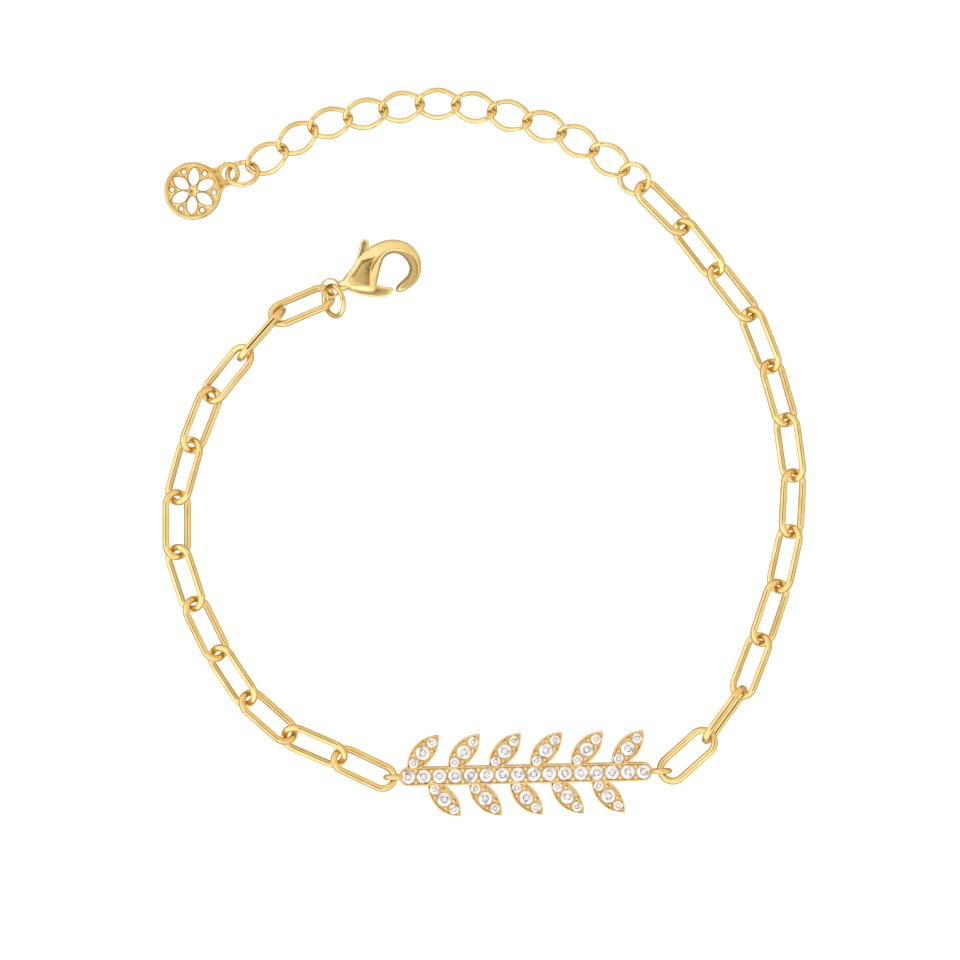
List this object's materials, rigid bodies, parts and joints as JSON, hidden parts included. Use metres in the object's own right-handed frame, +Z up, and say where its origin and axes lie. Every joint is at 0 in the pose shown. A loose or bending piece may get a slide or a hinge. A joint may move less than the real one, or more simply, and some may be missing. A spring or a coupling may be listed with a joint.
{
  "type": "chain bracelet",
  "caption": "Yellow gold paperclip-chain bracelet laid open, with a stone-set leafy front bar, lobster clasp, oval-link extender and pierced round tag.",
  "frame": {"origin": "centre of the bounding box on the surface that the bracelet lies on", "axes": "+Z up from the surface, +X to the picture's right, +Y to its top"},
  "size_m": [0.0644, 0.0729, 0.0037],
  "materials": {
    "gold": "polished yellow gold plate; the clasp is brushed satin",
    "stone": "clear colourless cut stones"
  },
  "bodies": {
    "bracelet": {"link_left_01": "gold", "link_left_02": "gold", "link_left_03": "gold", "link_left_04": "gold", "link_left_05": "gold", "link_left_06": "gold", "link_left_07": "gold", "link_left_08": "gold", "link_left_09": "gold", "link_left_10": "gold", "link_left_11": "gold", "link_left_12": "gold", "link_right_01": "gold", "link_right_02": "gold", "link_right_03": "gold", "link_right_04": "gold", "link_right_05": "gold", "link_right_06": "gold", "link_right_07": "gold", "link_right_08": "gold", "link_right_09": "gold", "link_right_10": "gold", "link_right_11": "gold", "link_right_12": "gold", "extender_01": "gold", "extender_02": "gold", "extender_03": "gold", "extender_04": "gold", "extender_05": "gold", "extender_06": "gold", "extender_07": "gold", "extender_08": "gold", "extender_09": "gold", "extender_10": "gold", "extender_11": "gold", "ring_chain": "gold", "ring_tag": "gold", "ring_clasp": "gold", "plate": "gold", "stones": "stone", "clasp_body": "gold", "clasp_pin": "gold", "tag": "gold"},
    "lever": {"clasp_lever": "gold"}
  },
  "joints": [
    {"name": "lever_swing", "type": "hinge", "parent": "bracelet", "child": "lever", "pos_m": [-0.01296, 0.01689, 0.00203], "axis": [0.1253, 0, 0.9921], "range_deg": [0, 25], "stiffness_Nm_per_rad": 0.0005, "springref_deg": -17.19}
  ]
}
